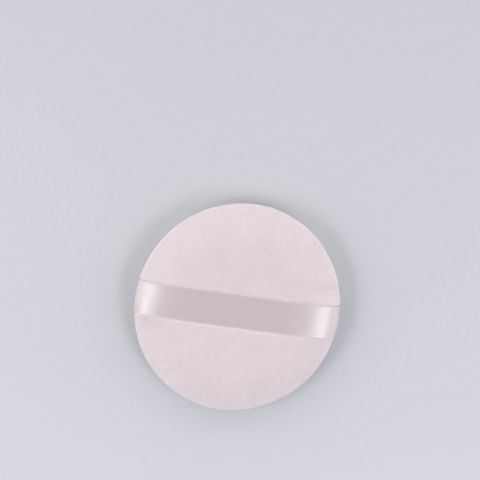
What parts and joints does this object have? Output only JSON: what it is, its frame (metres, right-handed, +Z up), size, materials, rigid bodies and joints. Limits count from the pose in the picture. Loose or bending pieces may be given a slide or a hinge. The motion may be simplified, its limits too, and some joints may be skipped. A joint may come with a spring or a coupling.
{
  "type": "powder puff",
  "caption": "Round velour powder puff: two sewn covers over a foam pad, with a flat satin finger ribbon caught in the rim seam across its back.",
  "frame": {"origin": "middle of the flat that the puff rests on, at the bottom of its powder face", "axes": "+Z up out of the ribbon side, +X along the ribbon"},
  "size_m": [0.0812, 0.08, 0.0142],
  "materials": {
    "velour": "short standing pile, matte with a soft sheen",
    "satin_ribbon": "woven satin, glossy along the warp",
    "foam": "open-cell polyurethane foam",
    "thread": "spun polyester sewing thread"
  },
  "bodies": {
    "pad": {"face_cover": "velour", "back_cover": "velour", "foam_pad": "foam", "needle_thread": "thread", "bobbin_thread": "thread", "closing_thread": "thread", "ribbon_tack_left": "thread", "ribbon_tack_right": "thread"},
    "ribbon": {"ribbon_band": "satin_ribbon"}
  },
  "joints": [
    {"name": "ribbon_lift", "type": "slide", "parent": "pad", "child": "ribbon", "axis": [0, 0, 1], "range_m": [0, 0.008], "deforming": ["ribbon_band"]}
  ]
}
